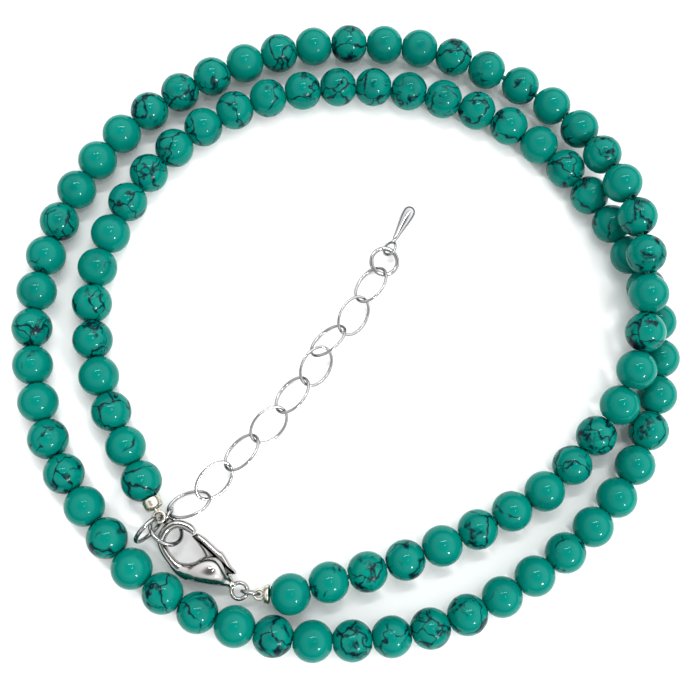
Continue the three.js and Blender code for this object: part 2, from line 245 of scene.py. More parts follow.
def makeStone():
    look = dyedStone
    material, tree, output = newMaterial("polishedDyedHowlite")
    place = addNode(tree, "ShaderNodeAttribute", attribute_name="beadPosition")
    seed = addNode(tree, "ShaderNodeAttribute", attribute_name="beadSeed")
    veining = addNode(tree, "ShaderNodeAttribute", attribute_name="beadVeining")
    # Every bead is cut from its own piece of stone.
    own = addNode(tree, "ShaderNodeVectorMath", {0: seed.outputs["Fac"], 1: (61.0, 113.0, 37.0),
                                                 2: place.outputs["Vector"]}, operation="MULTIPLY_ADD")
    warpNoise = addNode(tree, "ShaderNodeTexNoise", {"Vector": own.outputs[0], "Scale": 0.5, "Detail": 2.5})
    warp = addNode(tree, "ShaderNodeVectorMath", {0: warpNoise.outputs["Color"], 1: (3.2, 3.2, 3.2),
                                                  2: own.outputs[0]}, operation="MULTIPLY_ADD")
    tone = addNode(tree, "ShaderNodeTexNoise", {"Vector": own.outputs[0], "Scale": 1 / look["patchMm"],
                                                "Detail": 4.0, "Roughness": 0.6})
    toneRamp = addNode(tree, "ShaderNodeValToRGB", {"Fac": tone.outputs["Fac"]})
    setRamp(toneRamp, [(0.3, linearColour(look["deepGreen"])), (0.47, linearColour(look["green"])),
                       (0.6, linearColour(look["green"])), (0.78, linearColour(look["paleGreen"]))])
    # The web of veins, thin lines between uneven cells.
    web = addNode(tree, "ShaderNodeTexVoronoi", {"Vector": warp.outputs[0], "Scale": 1 / look["veinCellMm"]},
                  feature="DISTANCE_TO_EDGE")
    swell = addNode(tree, "ShaderNodeTexNoise", {"Vector": own.outputs[0], "Scale": 0.9, "Detail": 1.0})
    reach = addNode(tree, "ShaderNodeMapRange", {"Value": swell.outputs["Fac"],
                                                 "From Min": 0.35, "From Max": 0.68,
                                                 "To Min": look["veinWidth"] * 0.5,
                                                 "To Max": look["veinWidth"] * 2.1})
    line = addNode(tree, "ShaderNodeMapRange", {"Value": web.outputs["Distance"], "From Min": 0.0,
                                                "From Max": reach.outputs[0], "To Min": 1.0, "To Max": 0.0},
                   interpolation_type="SMOOTHSTEP")
    where = addNode(tree, "ShaderNodeTexNoise", {"Vector": own.outputs[0], "Scale": 0.42, "Detail": 2.0})
    # beadVeining runs from 0, a plain bead, to 1, one webbed nearly all over.
    cutoff = addNode(tree, "ShaderNodeMath", {0: veining.outputs["Fac"], 1: -look["veinedDrop"],
                                              2: look["plainCutoff"]}, operation="MULTIPLY_ADD")
    edge = addNode(tree, "ShaderNodeMath", {0: cutoff.outputs[0], 1: look["patchEdge"]}, operation="ADD")
    patch = addNode(tree, "ShaderNodeMapRange", {"Value": where.outputs["Fac"], "From Min": cutoff.outputs[0],
                                                 "From Max": edge.outputs[0]})
    veins = addNode(tree, "ShaderNodeMath", {0: line.outputs[0], 1: patch.outputs[0]}, operation="MULTIPLY")
    # Blotches of bare matrix where veins meet.
    blot = addNode(tree, "ShaderNodeTexNoise", {"Vector": warp.outputs[0], "Scale": 1 / look["blotchMm"],
                                                "Detail": 5.0, "Roughness": 0.65})
    blotMask = addNode(tree, "ShaderNodeMapRange", {"Value": blot.outputs["Fac"], "From Min": 0.57,
                                                    "From Max": 0.66})
    blotPatch = addNode(tree, "ShaderNodeMath", {0: blotMask.outputs[0], 1: patch.outputs[0]},
                        operation="MULTIPLY")
    dark = addNode(tree, "ShaderNodeMath", {0: veins.outputs[0], 1: blotPatch.outputs[0]},
                   operation="MAXIMUM")
    # Sockets 6 and 7 are the Mix node's two colours; its names A and B belong to several sockets.
    colour = addNode(tree, "ShaderNodeMix", {"Factor": dark.outputs[0], 6: toneRamp.outputs["Color"],
                                             7: linearColour(look["vein"])}, data_type="RGBA")
    rough = addNode(tree, "ShaderNodeMapRange", {"Value": dark.outputs[0], "To Min": look["roughness"],
                                                 "To Max": look["veinRoughness"]})
    # The soft matrix polishes a little lower than the stone round it.
    bump = addNode(tree, "ShaderNodeBump", {"Strength": 0.25, "Distance": look["veinDepthMm"] * mm,
                                            "Height": dark.outputs[0]}, invert=True)
    shader = addNode(tree, "ShaderNodeBsdfPrincipled", {"Base Color": colour.outputs[2], "IOR": look["index"],
                                                        "Specular IOR Level": look["gloss"],
                                                        "Roughness": rough.outputs[0],
                                                        "Normal": bump.outputs["Normal"]})
    tree.links.new(shader.outputs[0], output.inputs[0])
    return material


plating = {   # colour, roughness and spacing of the polishing lines in mm
    "platedSilver": ("#9B9B9C", 0.08, 0.6),
    "platedCastClasp": ("#A6A5A3", 0.07, 1.1),
    "satinPlatedCup": ("#C6C2B4", 0.25, 0.3),
}


def makeSilver(name):
    # Rhodium-bright plating over tumbled brass: a mirror with faint polishing lines, softer on the cups.
    colour, roughness, brushMm = plating[name]
    material, tree, output = newMaterial(name)
    coords = addNode(tree, "ShaderNodeTexCoord")
    grain = addNode(tree, "ShaderNodeTexNoise", {"Vector": coords.outputs["Object"],
                                                 "Scale": 1 / (brushMm * mm), "Detail": 3.0})
    rough = addNode(tree, "ShaderNodeMapRange", {"Value": grain.outputs["Fac"],
                                                 "From Min": 0.3, "From Max": 0.7,
                                                 "To Min": roughness * 0.7, "To Max": roughness * 1.5})
    bump = addNode(tree, "ShaderNodeBump", {"Strength": 0.06, "Distance": 0.02 * mm,
                                            "Height": grain.outputs["Fac"]})
    shader = addNode(tree, "ShaderNodeBsdfPrincipled", {"Base Color": linearColour(colour), "Metallic": 1.0,
                                                        "Roughness": rough.outputs[0],
                                                        "Normal": bump.outputs["Normal"]})
    tree.links.new(shader.outputs[0], output.inputs[0])
    return material


def makeThread():
    # Braided nylon beading thread, dyed to match the stone: dull, with fine slanting strands.
    material, tree, output = newMaterial("braidedNylonThread")
    coords = addNode(tree, "ShaderNodeTexCoord")
    braid = addNode(tree, "ShaderNodeTexWave", {"Vector": coords.outputs["Object"], "Scale": 1 / (0.9 * mm),
                                                "Distortion": 1.5}, bands_direction="DIAGONAL")
    tint = addNode(tree, "ShaderNodeValToRGB", {"Fac": braid.outputs["Fac"]})
    setRamp(tint, [(0.0, linearColour("#0B6B60")), (1.0, linearColour("#2C9A8A"))])
    shader = addNode(tree, "ShaderNodeBsdfPrincipled", {"Base Color": tint.outputs["Color"],
                                                        "Roughness": 0.55})
    tree.links.new(shader.outputs[0], output.inputs[0])
    return material


stone = makeStone()
thread = makeThread()
silver, castSilver, satinSilver = [makeSilver(name) for name in plating]
print("materials made")


beads = {
    "count": 92,
    "diameter": 4.3,
    "length": 4.02,
    "hole": 0.9,
    "thread": 0.5,
    "segments": 36,
    "strands": 8,
    "sizeSpread": 0.015,   # the smallest bead is this much smaller than the largest, as a share
    "seed": 7,
    "stoneSeed": 3,
}

# How much matrix shows in each bead, judged one by one, from the first bead on and ten to a group:
# 0 is none and 9 is most of it.
veiningChart = ("0399085097" "0180670651" "5480090705" "6600064294" "0670707807"
                "0748830500" "0801053699" "2796698657" "9998036808" "37")

# The string's route: bearing round the coil in degrees, radius and height in mm. The first turn
# starts at the clasp's eye, climbs over the second on the right and lands outside it.
route = [
    (258, 29.2, 2.15), (266, 27.4, 2.15), (282, 25.9, 2.15), (300, 25.8, 2.15), (318, 27.4, 2.15),
    (326, 28.2, 2.15), (334, 29.0, 2.3), (342, 30.2, 3.4), (350, 31.0, 4.7), (358, 31.5, 5.6),
    (368, 32.2, 6.25), (378, 32.9, 6.25), (386, 33.5, 5.6), (394, 34.0, 4.35), (402, 34.6, 2.9),
    (410, 34.6, 2.25), (420, 34.2, 2.15), (436, 33.7, 2.15), (457, 33.0, 2.15), (478, 32.8, 2.15),
    (499, 33.5, 2.15), (520, 33.8, 2.15), (541, 34.1, 2.15), (562, 34.1, 2.15), (582, 33.9, 2.15),
    (594, 34.3, 2.15), (608, 33.9, 2.15), (625, 33.4, 2.15), (646, 33.1, 2.15), (667, 33.1, 2.15),
    (686, 34.0, 2.15), (704, 34.3, 2.15), (720, 33.9, 2.15), (733, 32.5, 2.15), (748, 31.1, 2.15),
    (766, 30.0, 2.15), (787, 28.6, 2.15), (810, 27.8, 2.15), (835, 27.9, 2.15), (860, 28.1, 2.15),
    (885, 28.1, 2.15), (905, 27.6, 2.15), (921, 27.0, 2.15), (938, 27.6, 2.15),
]
# How far along the string, in mm, these beads' centres are; the rest are spaced evenly between.
spacing = [(0, 0.0), (13, 53.6), (21, 88.1), (47, 194.4), (91, 373.1)]


def beadCentres():
    points = []
    for bearing, radius, height in route:
        angle = math.radians(bearing)
        points.append((radius * math.cos(angle), radius * math.sin(angle), height))
    line = smoothLine(points, (len(points) - 1) * 200)
    travelled = [0.0]
    for a, b in zip(line, line[1:]):
        travelled.append(travelled[-1] + (b - a).length)
    centres, k = [], 0
    for n in range(beads["count"]):
        (n0, s0), (n1, s1) = next(p for p in zip(spacing, spacing[1:]) if n <= p[1][0])
        along = (s0 + (s1 - s0) * (n - n0) / (n1 - n0)) / spacing[-1][1] * travelled[-1]
        while k < len(line) - 2 and travelled[k + 1] < along:
            k += 1
        share = (along - travelled[k]) / (travelled[k + 1] - travelled[k])
        centres.append(line[k].lerp(line[k + 1], share))
    return centres


centres = beadCentres()


def beadMesh():
    # A ball drilled through, its two ends ground flat and eased. Local Z is along the thread.
    radius, end, hole = beads["diameter"] / 2, beads["length"] / 2, beads["hole"] / 2
    arc = math.asin((end - 0.07) / radius)
    steps = 18
    outer = [(radius * math.cos(arc * (2 * i / steps - 1)), radius * math.sin(arc * (2 * i / steps - 1)))
             for i in range(steps + 1)]
    easing = [(outer[-1][0] - 0.09, end - 0.025), (outer[-1][0] - 0.2, end), (hole + 0.16, end),
              (hole + 0.05, end - 0.03), (hole, end - 0.13)]
    profile = outer + easing + [(r, -z) for r, z in reversed(easing)]
    verts, faces = lathe(profile, beads["segments"], closed=True)
    return toMesh("beadShape", [v * mm for v in verts], faces)


def makeStrandTree():
    # Beads on the points of a line, with the thread run through them.
    tree = bpy.data.node_groups.new("strandOfBeads", "GeometryNodeTree")
    face = tree.interface
    face.new_socket("Line", in_out="INPUT", socket_type="NodeSocketGeometry")
    face.new_socket("Bead", in_out="INPUT", socket_type="NodeSocketObject")
    face.new_socket("First Bead", in_out="INPUT", socket_type="NodeSocketInt")
    face.new_socket("Thread Radius", in_out="INPUT", socket_type="NodeSocketFloat")
    face.new_socket("Size Spread", in_out="INPUT", socket_type="NodeSocketFloat")
    face.new_socket("Seed", in_out="INPUT", socket_type="NodeSocketInt")
    face.new_socket("Stone", in_out="INPUT", socket_type="NodeSocketMaterial")
    face.new_socket("Cord", in_out="INPUT", socket_type="NodeSocketMaterial")
    face.new_socket("Strand", in_out="OUTPUT", socket_type="NodeSocketGeometry")
    given = addNode(tree, "NodeGroupInput")
    index = addNode(tree, "GeometryNodeInputIndex")
    number = addNode(tree, "ShaderNodeMath", {0: index.outputs[0], 1: given.outputs["First Bead"]},
                     operation="ADD")
    curve = addNode(tree, "GeometryNodeMeshToCurve", {"Mesh": given.outputs["Line"]})
    tangent = addNode(tree, "GeometryNodeInputTangent")
    aimed = addNode(tree, "FunctionNodeAlignRotationToVector", {"Vector": tangent.outputs[0]}, axis="Z")
    fullTurn = 6.283
    spin = addNode(tree, "FunctionNodeRandomValue", {2: 0.0, 3: fullTurn, "ID": number.outputs[0],
                                                     "Seed": given.outputs["Seed"]}, data_type="FLOAT")
    about = addNode(tree, "FunctionNodeAxisAngleToRotation", {"Axis": (0, 0, 1), "Angle": spin.outputs[1]})
    turned = addNode(tree, "FunctionNodeRotateRotation", {0: aimed.outputs[0], 1: about.outputs[0]},
                     rotation_space="LOCAL")
    small = addNode(tree, "ShaderNodeMath", {0: 1.0, 1: given.outputs["Size Spread"]}, operation="SUBTRACT")
    size = addNode(tree, "FunctionNodeRandomValue", {2: small.outputs[0], 3: 1.0, "ID": number.outputs[0],
                                                     "Seed": given.outputs["Seed"]}, data_type="FLOAT")
    shape = addNode(tree, "GeometryNodeObjectInfo", {"Object": given.outputs["Bead"]})
    position = addNode(tree, "GeometryNodeInputPosition")
    inMm = addNode(tree, "ShaderNodeVectorMath", {0: position.outputs[0], "Scale": 1000.0}, operation="SCALE")
    marked = addNode(tree, "GeometryNodeStoreNamedAttribute",
                     {"Geometry": shape.outputs["Geometry"], "Name": "beadPosition",
                      "Value": inMm.outputs[0]},
                     data_type="FLOAT_VECTOR", domain="POINT")
    placed = addNode(tree, "GeometryNodeInstanceOnPoints",
                     {"Points": curve.outputs[0], "Instance": marked.outputs[0],
                      "Rotation": turned.outputs[0], "Scale": size.outputs[1]})
    # The stone's material reads beadSeed from here and beadVeining from the line's own points.
    seedValue = addNode(tree, "FunctionNodeRandomValue", {2: 0.0, 3: 1.0, "ID": number.outputs[0],
                                                          "Seed": beads["stoneSeed"]}, data_type="FLOAT")
    seeded = addNode(tree, "GeometryNodeStoreNamedAttribute",
                     {"Geometry": placed.outputs[0], "Name": "beadSeed", "Value": seedValue.outputs[1]},
                     data_type="FLOAT", domain="INSTANCE")
    stoned = addNode(tree, "GeometryNodeSetMaterial", {"Geometry": seeded.outputs[0],
                                                       "Material": given.outputs["Stone"]})
    circle = addNode(tree, "GeometryNodeCurvePrimitiveCircle", {"Resolution": 10,
                                                               "Radius": given.outputs["Thread Radius"]})
    cord = addNode(tree, "GeometryNodeCurveToMesh", {"Curve": curve.outputs[0],
                                                     "Profile Curve": circle.outputs[0], "Fill Caps": True})
    corded = addNode(tree, "GeometryNodeSetMaterial", {"Geometry": cord.outputs[0],
                                                       "Material": given.outputs["Cord"]})
    both = addNode(tree, "GeometryNodeJoinGeometry")
    tree.links.new(corded.outputs[0], both.inputs[0])
    tree.links.new(stoned.outputs[0], both.inputs[0])
    real = addNode(tree, "GeometryNodeRealizeInstances", {0: both.outputs[0]})
    addNode(tree, "NodeGroupOutput", {"Strand": real.outputs[0]})
    return tree


def setInput(modifier, name, value):
    # A modifier's input is set by its socket's identifier.
    for item in modifier.node_group.interface.items_tree:
        if item.item_type == "SOCKET" and item.in_out == "INPUT" and item.name == name:
            modifier[item.identifier] = value
            return
    raise KeyError(name)


def makeStrands():
    beadShape = toObject(beadMesh())
    tree = makeStrandTree()
    for strand in range(beads["strands"]):
        first = strand * beads["count"] // beads["strands"]
        last = (strand + 1) * beads["count"] // beads["strands"] - 1
        points = [centres[n] * mm + coilCentre for n in range(first, last + 1)]
        mesh = bpy.data.meshes.new(f"beadStrand{strand + 1}")
        mesh.from_pydata(points, [(i, i + 1) for i in range(len(points) - 1)], [])
        grades = mesh.attributes.new("beadVeining", "FLOAT", "POINT")
        for i, grade in enumerate(veiningChart[first:last + 1]):
            grades.data[i].value = int(grade) / 9
        obj = toObject(mesh)
        modifier = obj.modifiers.new("beads", "NODES")
        modifier.node_group = tree
        setInput(modifier, "Bead", beadShape)
        setInput(modifier, "First Bead", first)
        setInput(modifier, "Thread Radius", beads["thread"] / 2 * mm)
        setInput(modifier, "Size Spread", beads["sizeSpread"])
        setInput(modifier, "Seed", beads["seed"])
        setInput(modifier, "Stone", stone)
        setInput(modifier, "Cord", thread)
        applyModifiers(obj)
        finishPiece(obj, "necklace", "stone", f"bead_strand_{strand + 1}")
    bpy.data.objects.remove(beadShape)


makeStrands()
print("beads strung")


rings = {   # radius, wire and centre in mm, the axis's azimuth and tilt, and the saw cut's place, in degrees
    "jump_ring_a": (1.74, 0.45, (-20.77, -21.94, 2.25), 316.5, 81, 200),
    "clasp_ring": (1.8, 0.45, (-19.05, -22.01, 1.85), 45.5, 48.5, 60),
    "extender_ring": (0.85, 0.35, (-18.98, -20.55, 1.08), 154, 88, 30),
    "jump_ring_b": (0.9, 0.4, (-10.2, -28.4, 1.7), 80.5, 90, 120),
    "extender_end_ring": (1.475, 0.5, (4.05, 7.42, 0.88), 314, 7, 250),
}
sawCutDegrees = 1.6

for name, (radius, wire, centre, azimuth, tilt, cut) in rings.items():
    part = wireLoop(radius, radius, wire, steps=80, sides=16, gapDegrees=sawCutDegrees, gapAt=cut)
    obj = toObject(toMesh(camelName(name), *part, ringMatrix(centre, azimuth, tilt)), silver, 50)
    finishPiece(obj, "necklace", "silver", name)

chain = {
    "halfLength": 2.28,
    "halfWidth": 1.58,
    "wire": 0.35,
    # centre x, y, z in mm, then heading, pitch and roll in degrees
    "links": [
        (-16.84, -19.37, 1.21, 18.5, 1.5, -38),
        (-14.29, -16.87, 1.02, 48, 0, 29.5),
        (-11.44, -13.9, 1.08, 49, 0, -35),
        (-8.57, -10.93, 1.04, 45, 0, 25),
        (-6.09, -7.68, 1.02, 52, -1, -32),
        (-3.52, -4.5, 0.93, 60, 0, 22.5),
        (-2.23, -1.71, 1.23, 43, 0, -42),
        (0.59, 1.15, 0.98, 59, 0.5, 27.5),
        (2.51, 4.69, 1.01, 58, -4, -31),
    ],
}


def makeChainTree():
    # One link on every point, turned by the point's own lay.
    tree = bpy.data.node_groups.new("chainOfLinks", "GeometryNodeTree")
    face = tree.interface
    face.new_socket("Points", in_out="INPUT", socket_type="NodeSocketGeometry")
    face.new_socket("Link", in_out="INPUT", socket_type="NodeSocketObject")
    face.new_socket("Metal", in_out="INPUT", socket_type="NodeSocketMaterial")
    face.new_socket("Chain", in_out="OUTPUT", socket_type="NodeSocketGeometry")
    given = addNode(tree, "NodeGroupInput")
    lay = addNode(tree, "GeometryNodeInputNamedAttribute", {"Name": "lay"}, data_type="FLOAT_VECTOR")
    turned = addNode(tree, "FunctionNodeEulerToRotation", {0: lay.outputs[0]})
    shape = addNode(tree, "GeometryNodeObjectInfo", {"Object": given.outputs["Link"]})
    points = addNode(tree, "GeometryNodeMeshToPoints", {"Mesh": given.outputs["Points"]})
    placed = addNode(tree, "GeometryNodeInstanceOnPoints",
                     {"Points": points.outputs[0], "Instance": shape.outputs["Geometry"],
                      "Rotation": turned.outputs[0]})
    real = addNode(tree, "GeometryNodeRealizeInstances", {0: placed.outputs[0]})
    done = addNode(tree, "GeometryNodeSetMaterial", {"Geometry": real.outputs[0],
                                                     "Material": given.outputs["Metal"]})
    addNode(tree, "NodeGroupOutput", {"Chain": done.outputs[0]})
    return tree


def makeChain():
    part = wireLoop(chain["halfLength"], chain["halfWidth"], chain["wire"], steps=72, sides=12)
    link = toObject(toMesh("linkShape", *part, Matrix.Scale(mm, 4)))
    mesh = bpy.data.meshes.new("extenderChain")
    mesh.from_pydata([Vector(row[:3]) * mm + coilCentre for row in chain["links"]], [], [])
    lay = mesh.attributes.new("lay", "FLOAT_VECTOR", "POINT")
    for i, (_, _, _, heading, pitch, roll) in enumerate(chain["links"]):
        lay.data[i].vector = [math.radians(a) for a in (roll, -pitch, heading)]
    obj = toObject(mesh)
    modifier = obj.modifiers.new("links", "NODES")
    modifier.node_group = makeChainTree()
    setInput(modifier, "Link", link)
    setInput(modifier, "Metal", silver)
    applyModifiers(obj)
    finishPiece(obj, "necklace", "silver", *[f"extender_link_{i + 1}" for i in range(len(chain["links"]))])
    bpy.data.objects.remove(link)


makeChain()
print("chain linked")


drop = {
    "loopCentre": (4.67, 8.93, 0.89),
    "loopRadius": 0.785,
    "loopWire": 0.33,
    "lay": (63, 2, -41.5),
    "top": (5.02, 9.6, 0.92),
    "tip": (7.28, 13.97, 0.52),
    "flatness": 0.72,
    # radius and distance from the top, in mm
    "profile": [(0.0, 0.0), (0.2, 0.02), (0.25, 0.1), (0.25, 0.3), (0.22, 0.4), (0.3, 0.62), (0.4, 1.5),
                (0.56, 2.5), (0.69, 3.3), (0.75, 4.0), (0.7, 4.45), (0.5, 4.78), (0.25, 4.92), (0.0, 4.95)],
}


def alongMatrix(start, end, flatness=1.0):
    # Local Z runs from start to end; local Y, which ends up upright, is pressed by flatness. In mm.
    line = (Vector(end) - Vector(start)).normalized()
    side = line.cross(Vector((0, 0, 1))).normalized()
    up = side.cross(line)
    return placedMatrix(start, Matrix((side, up * flatness, line)).transposed().to_4x4())


def makeDrop():
    profile = [tuple(p) for p in smoothLine(drop["profile"], 60)]
    body = moved(lathe([(max(r, 0.0), z) for r, z in profile], 32),
                 alongMatrix(drop["top"], drop["tip"], drop["flatness"]))
    loop = moved(wireLoop(drop["loopRadius"], drop["loopRadius"], drop["loopWire"], steps=56, sides=14),
                 lyingMatrix(drop["loopCentre"], *drop["lay"]))
    obj = toObject(toMesh("drop", *joinParts([body, loop])), silver, 60)
    finishPiece(obj, "necklace", "silver", "drop")


makeDrop()
print("drop hung")


cups = {
    "end_cup_a": {"bead": 91, "loop": (-19.71, -20.72, 2.56), "loopRadius": 0.55, "loopWire": 0.35,
                  "length": 1.15},
    "end_cup_b": {"bead": 0, "loop": (-9.3, -28.58, 2.0), "loopRadius": 0.5, "loopWire": 0.3,
                  "length": 0.55},
}
cupShape = {
    "rim": 2.18,       # from the bead's centre, in mm
    "neck": 0.18,      # radius
    "overlap": 0.02,   # how far the neck runs past the middle of the loop's wire
    # radius, height above the rim in mm, and more height as a share of the cup's length
    "inside": [(0.0, 0, 0.5), (0.5, 0, 0.45), (0.8, 0, 0.25), (0.88, 0.06, 0), (0.92, -0.01, 0)],
    "outside": [(0.98, 0.02, 0), (1.02, 0.08, 0), (1.0, 0, 0.3), (0.95, 0, 0.75), (0.84, 0, 0.93),
                (0.4, 0, 1), (0.19, 0, 1.08)],
}


def makeCup(name, cup):
    # A thin-walled bell with a rolled rim, closing to a neck that ends in a wire loop.
    bead, loopCentre = centres[cup["bead"]], Vector(cup["loop"])
    neckEnd = (loopCentre - bead).length - cup["loopRadius"] + cupShape["overlap"]
    wall = [(radius, cupShape["rim"] + rise + share * cup["length"])
            for radius, rise, share in cupShape["inside"] + cupShape["outside"]]
    wall += [(cupShape["neck"], neckEnd), (0.0, neckEnd)]
    bell = moved(lathe(wall, 28), alongMatrix(bead, loopCentre))
    loop = moved(wireLoop(cup["loopRadius"], cup["loopRadius"], cup["loopWire"], steps=48, sides=14),
                 lyingMatrix(cup["loop"], 0, 0, 0))
    obj = toObject(toMesh(camelName(name), *joinParts([bell, loop])), satinSilver, 60)
    finishPiece(obj, "necklace", "silver", name)


for name, cup in cups.items():
    makeCup(name, cup)
print("cups closed")


# Its own frame, in mm: x from the hook's end to the eye, y towards the lever.
clasp = {
    "origin": (-19.62, -21.93, 0.0),
    "turn": -37.5,
    "middle": 1.7,
    "limbThickness": 1.44,
    "eye": (10.4, 0.05),
    "eyeRadius": 1.05,
    "eyeHole": 0.6,
    "eyeThickness": 0.8,
    "pivot": (6.7, 0.45),
    "slot": 1.3,
    "leverThickness": 1.1,
    "bevelStart": 3.2,        # x from which the top edges broaden, over the next millimetre
    "slopeEnd": 6.4,          # x where the slope towards the hollow has run out
    "slopeFade": 0.8,
    "slopeGain": 2.0,         # how much broader than the plain inset the slope and the rounding are
    "roundGain": 1.3,
    "pinRadius": 0.32,
    "pinHalf": 1.0,
    "pinBevel": 0.04,
    "recessRadius": 0.4,      # the hole the pin sits in, and half its length
    "recessHalf": 1.08,
    "neckStart": 8.25,
    "limbRoundness": 0.8,     # 1 is round, less is squarer
    "bellyRoundness": 0.88,
    "underside": 0.008,       # height the belly is flattened at
    "bellySpan": (3.2, 9.1),  # x where the blend of belly and limb starts and ends
    "bellyFade": 1.1,
    "softenSteps": 5,
    "blendSteps": 24,
    "voxel": 0.055,
}
claspMatrix = placedMatrix(clasp["origin"], Matrix.Rotation(math.radians(clasp["turn"]), 4, "Z"))

limbRows = [   # x, y and half width from the hook's end round to the body
    (3.05, 1.83, 0.34), (2.4, 1.9, 0.46), (1.6, 1.75, 0.46), (0.95, 1.35, 0.45), (0.57, 0.69, 0.47),
    (0.5, -0.08, 0.49), (0.72, -0.78, 0.46), (1.33, -1.3, 0.42), (2.15, -1.65, 0.42), (2.95, -1.84, 0.45),
    (3.67, -1.97, 0.55), (4.42, -1.85, 0.75), (5.2, -1.6, 0.9),
]
bodyRows = [   # x, lower and upper y, and half height, from the limb to the neck
    (3.9, -2.4, -1.4, 0.66), (4.4, -2.46, -1.02, 0.84), (4.9, -2.43, -0.4, 1.06), (5.3, -2.36, 0.55, 1.32),
    (5.8, -2.22, 1.1, 1.55), (6.4, -1.97, 1.36, 1.72), (7.0, -1.66, 1.36, 1.76), (7.6, -1.33, 1.18, 1.6),
    (8.2, -1.0, 0.88, 1.24), (8.7, -0.72, 0.55, 0.86), (9.1, -0.42, 0.4, 0.6), (9.35, -0.3, 0.32, 0.42),
]
leverRows = [
    (3.33, 2.02), (4.2, 2.16), (5.2, 2.1), (6.2, 2.04), (6.6, 2.1), (7.35, 1.86), (8.1, 1.55), (8.7, 1.42),
    (9.05, 1.27), (9.02, 1.06), (8.6, 0.77), (8.05, 0.32), (7.6, 0.02), (7.2, -0.12), (6.7, -0.3),
    (6.2, -0.08), (5.9, 0.35), (5.03, 0.81), (4.13, 1.11), (3.09, 1.35), (3.19, 1.69),
]
neckRows = [(0.0, 0.0), (0.85, 0.0), (0.74, 0.4), (0.52, 0.85), (0.4, 1.2), (0.36, 1.55), (0.0, 1.55)]
slotOutline = [(4.4, 2.8), (4.4, -0.45), (7.4, -0.45), (8.1, 0.1), (8.8, 0.72), (9.4, 0.95), (9.4, 2.8)]


def skinRows(rowCount, count):
    # Faces over rows of points, each row a closed ring of count, with both ends capped.
    faces = []
    for i in range(rowCount - 1):
        for k in range(count):
            n = (k + 1) % count
            faces.append([i * count + k, i * count + n, (i + 1) * count + n, (i + 1) * count + k])
    faces.append(list(range(count)))
    faces.append(list(range((rowCount - 1) * count, rowCount * count)))
    return faces


def roundedSection(count, roundness):
    # Points of a ring, from round to nearly square.
    section = []
    for k in range(count):
        angle = 2 * math.pi * k / count
        section.append([math.copysign(abs(v) ** roundness, v) for v in (math.cos(angle), math.sin(angle))])
    return section


def sweptLimb():
    # The hook's limb, a rounded bar whose flats are only just felt.
    rows = smoothLine(limbRows, 90)
    half = clasp["limbThickness"] / 2
    section = roundedSection(24, clasp["limbRoundness"])
    verts = []
    for i, row in enumerate(rows):
        before, after = rows[max(i - 1, 0)], rows[min(i + 1, len(rows) - 1)]
        along = Vector((after.x - before.x, after.y - before.y, 0)).normalized()
        left = Vector((-along.y, along.x, 0))
        for across, height in section:
            verts.append(Vector((row.x, row.y, clasp["middle"] + height * half)) + left * across * row.z)
    return verts, skinRows(len(rows), len(section))


def layeredPlate(outline, layers, weight=None):
    # Copies of an outline at several heights, each drawn in by an inset, closed top and bottom.
    count = len(outline)
    turn = plateTurn(outline)
    verts = []
    for height, inset in layers:
        for i in range(count):
            before, after = Vector(outline[i - 1]), Vector(outline[(i + 1) % count])
            along = (after - before).normalized()
            inwards = Vector((-along.y, along.x)) * turn
            share = weight(outline[i], inwards, height) if weight else 1.0
            place = Vector(outline[i]) + inwards * inset * share
            verts.append(Vector((place.x, place.y, height)))
    return verts, skinRows(len(layers), count)


def plateTurn(outline):
    # 1 where the outline runs anticlockwise, so that its left side is the inside.
    area = sum(a[0] * b[1] - b[0] * a[1] for a, b in zip(outline, outline[1:] + outline[:1]))
    return 1 if area > 0 else -1


def cutWith(obj, part):
    cutter = toObject(toMesh("cutter", *part))
    modifier = obj.modifiers.new("cut", "BOOLEAN")
    modifier.operation = "DIFFERENCE"
    modifier.solver = "EXACT"
    modifier.object = cutter
    applyModifiers(obj)
    bpy.data.objects.remove(cutter)


def loftedBody():
    # The swollen belly: rounded sections set across the clasp's length, flattened where it lies.
    rows = smoothLine([(x, (low + high) / 2, 0) for x, low, high, _ in bodyRows], 60)
    sizes = smoothLine([((high - low) / 2, half, 0) for _, low, high, half in bodyRows], 60)
    section = roundedSection(40, clasp["bellyRoundness"])
    verts = []
    for row, size in zip(rows, sizes):
        for across, height in section:
            z = max(clasp["middle"] + height * size.y, clasp["underside"])
            verts.append(Vector((row.x, row.y + across * size.x, z)))
    return verts, skinRows(len(rows), len(section))


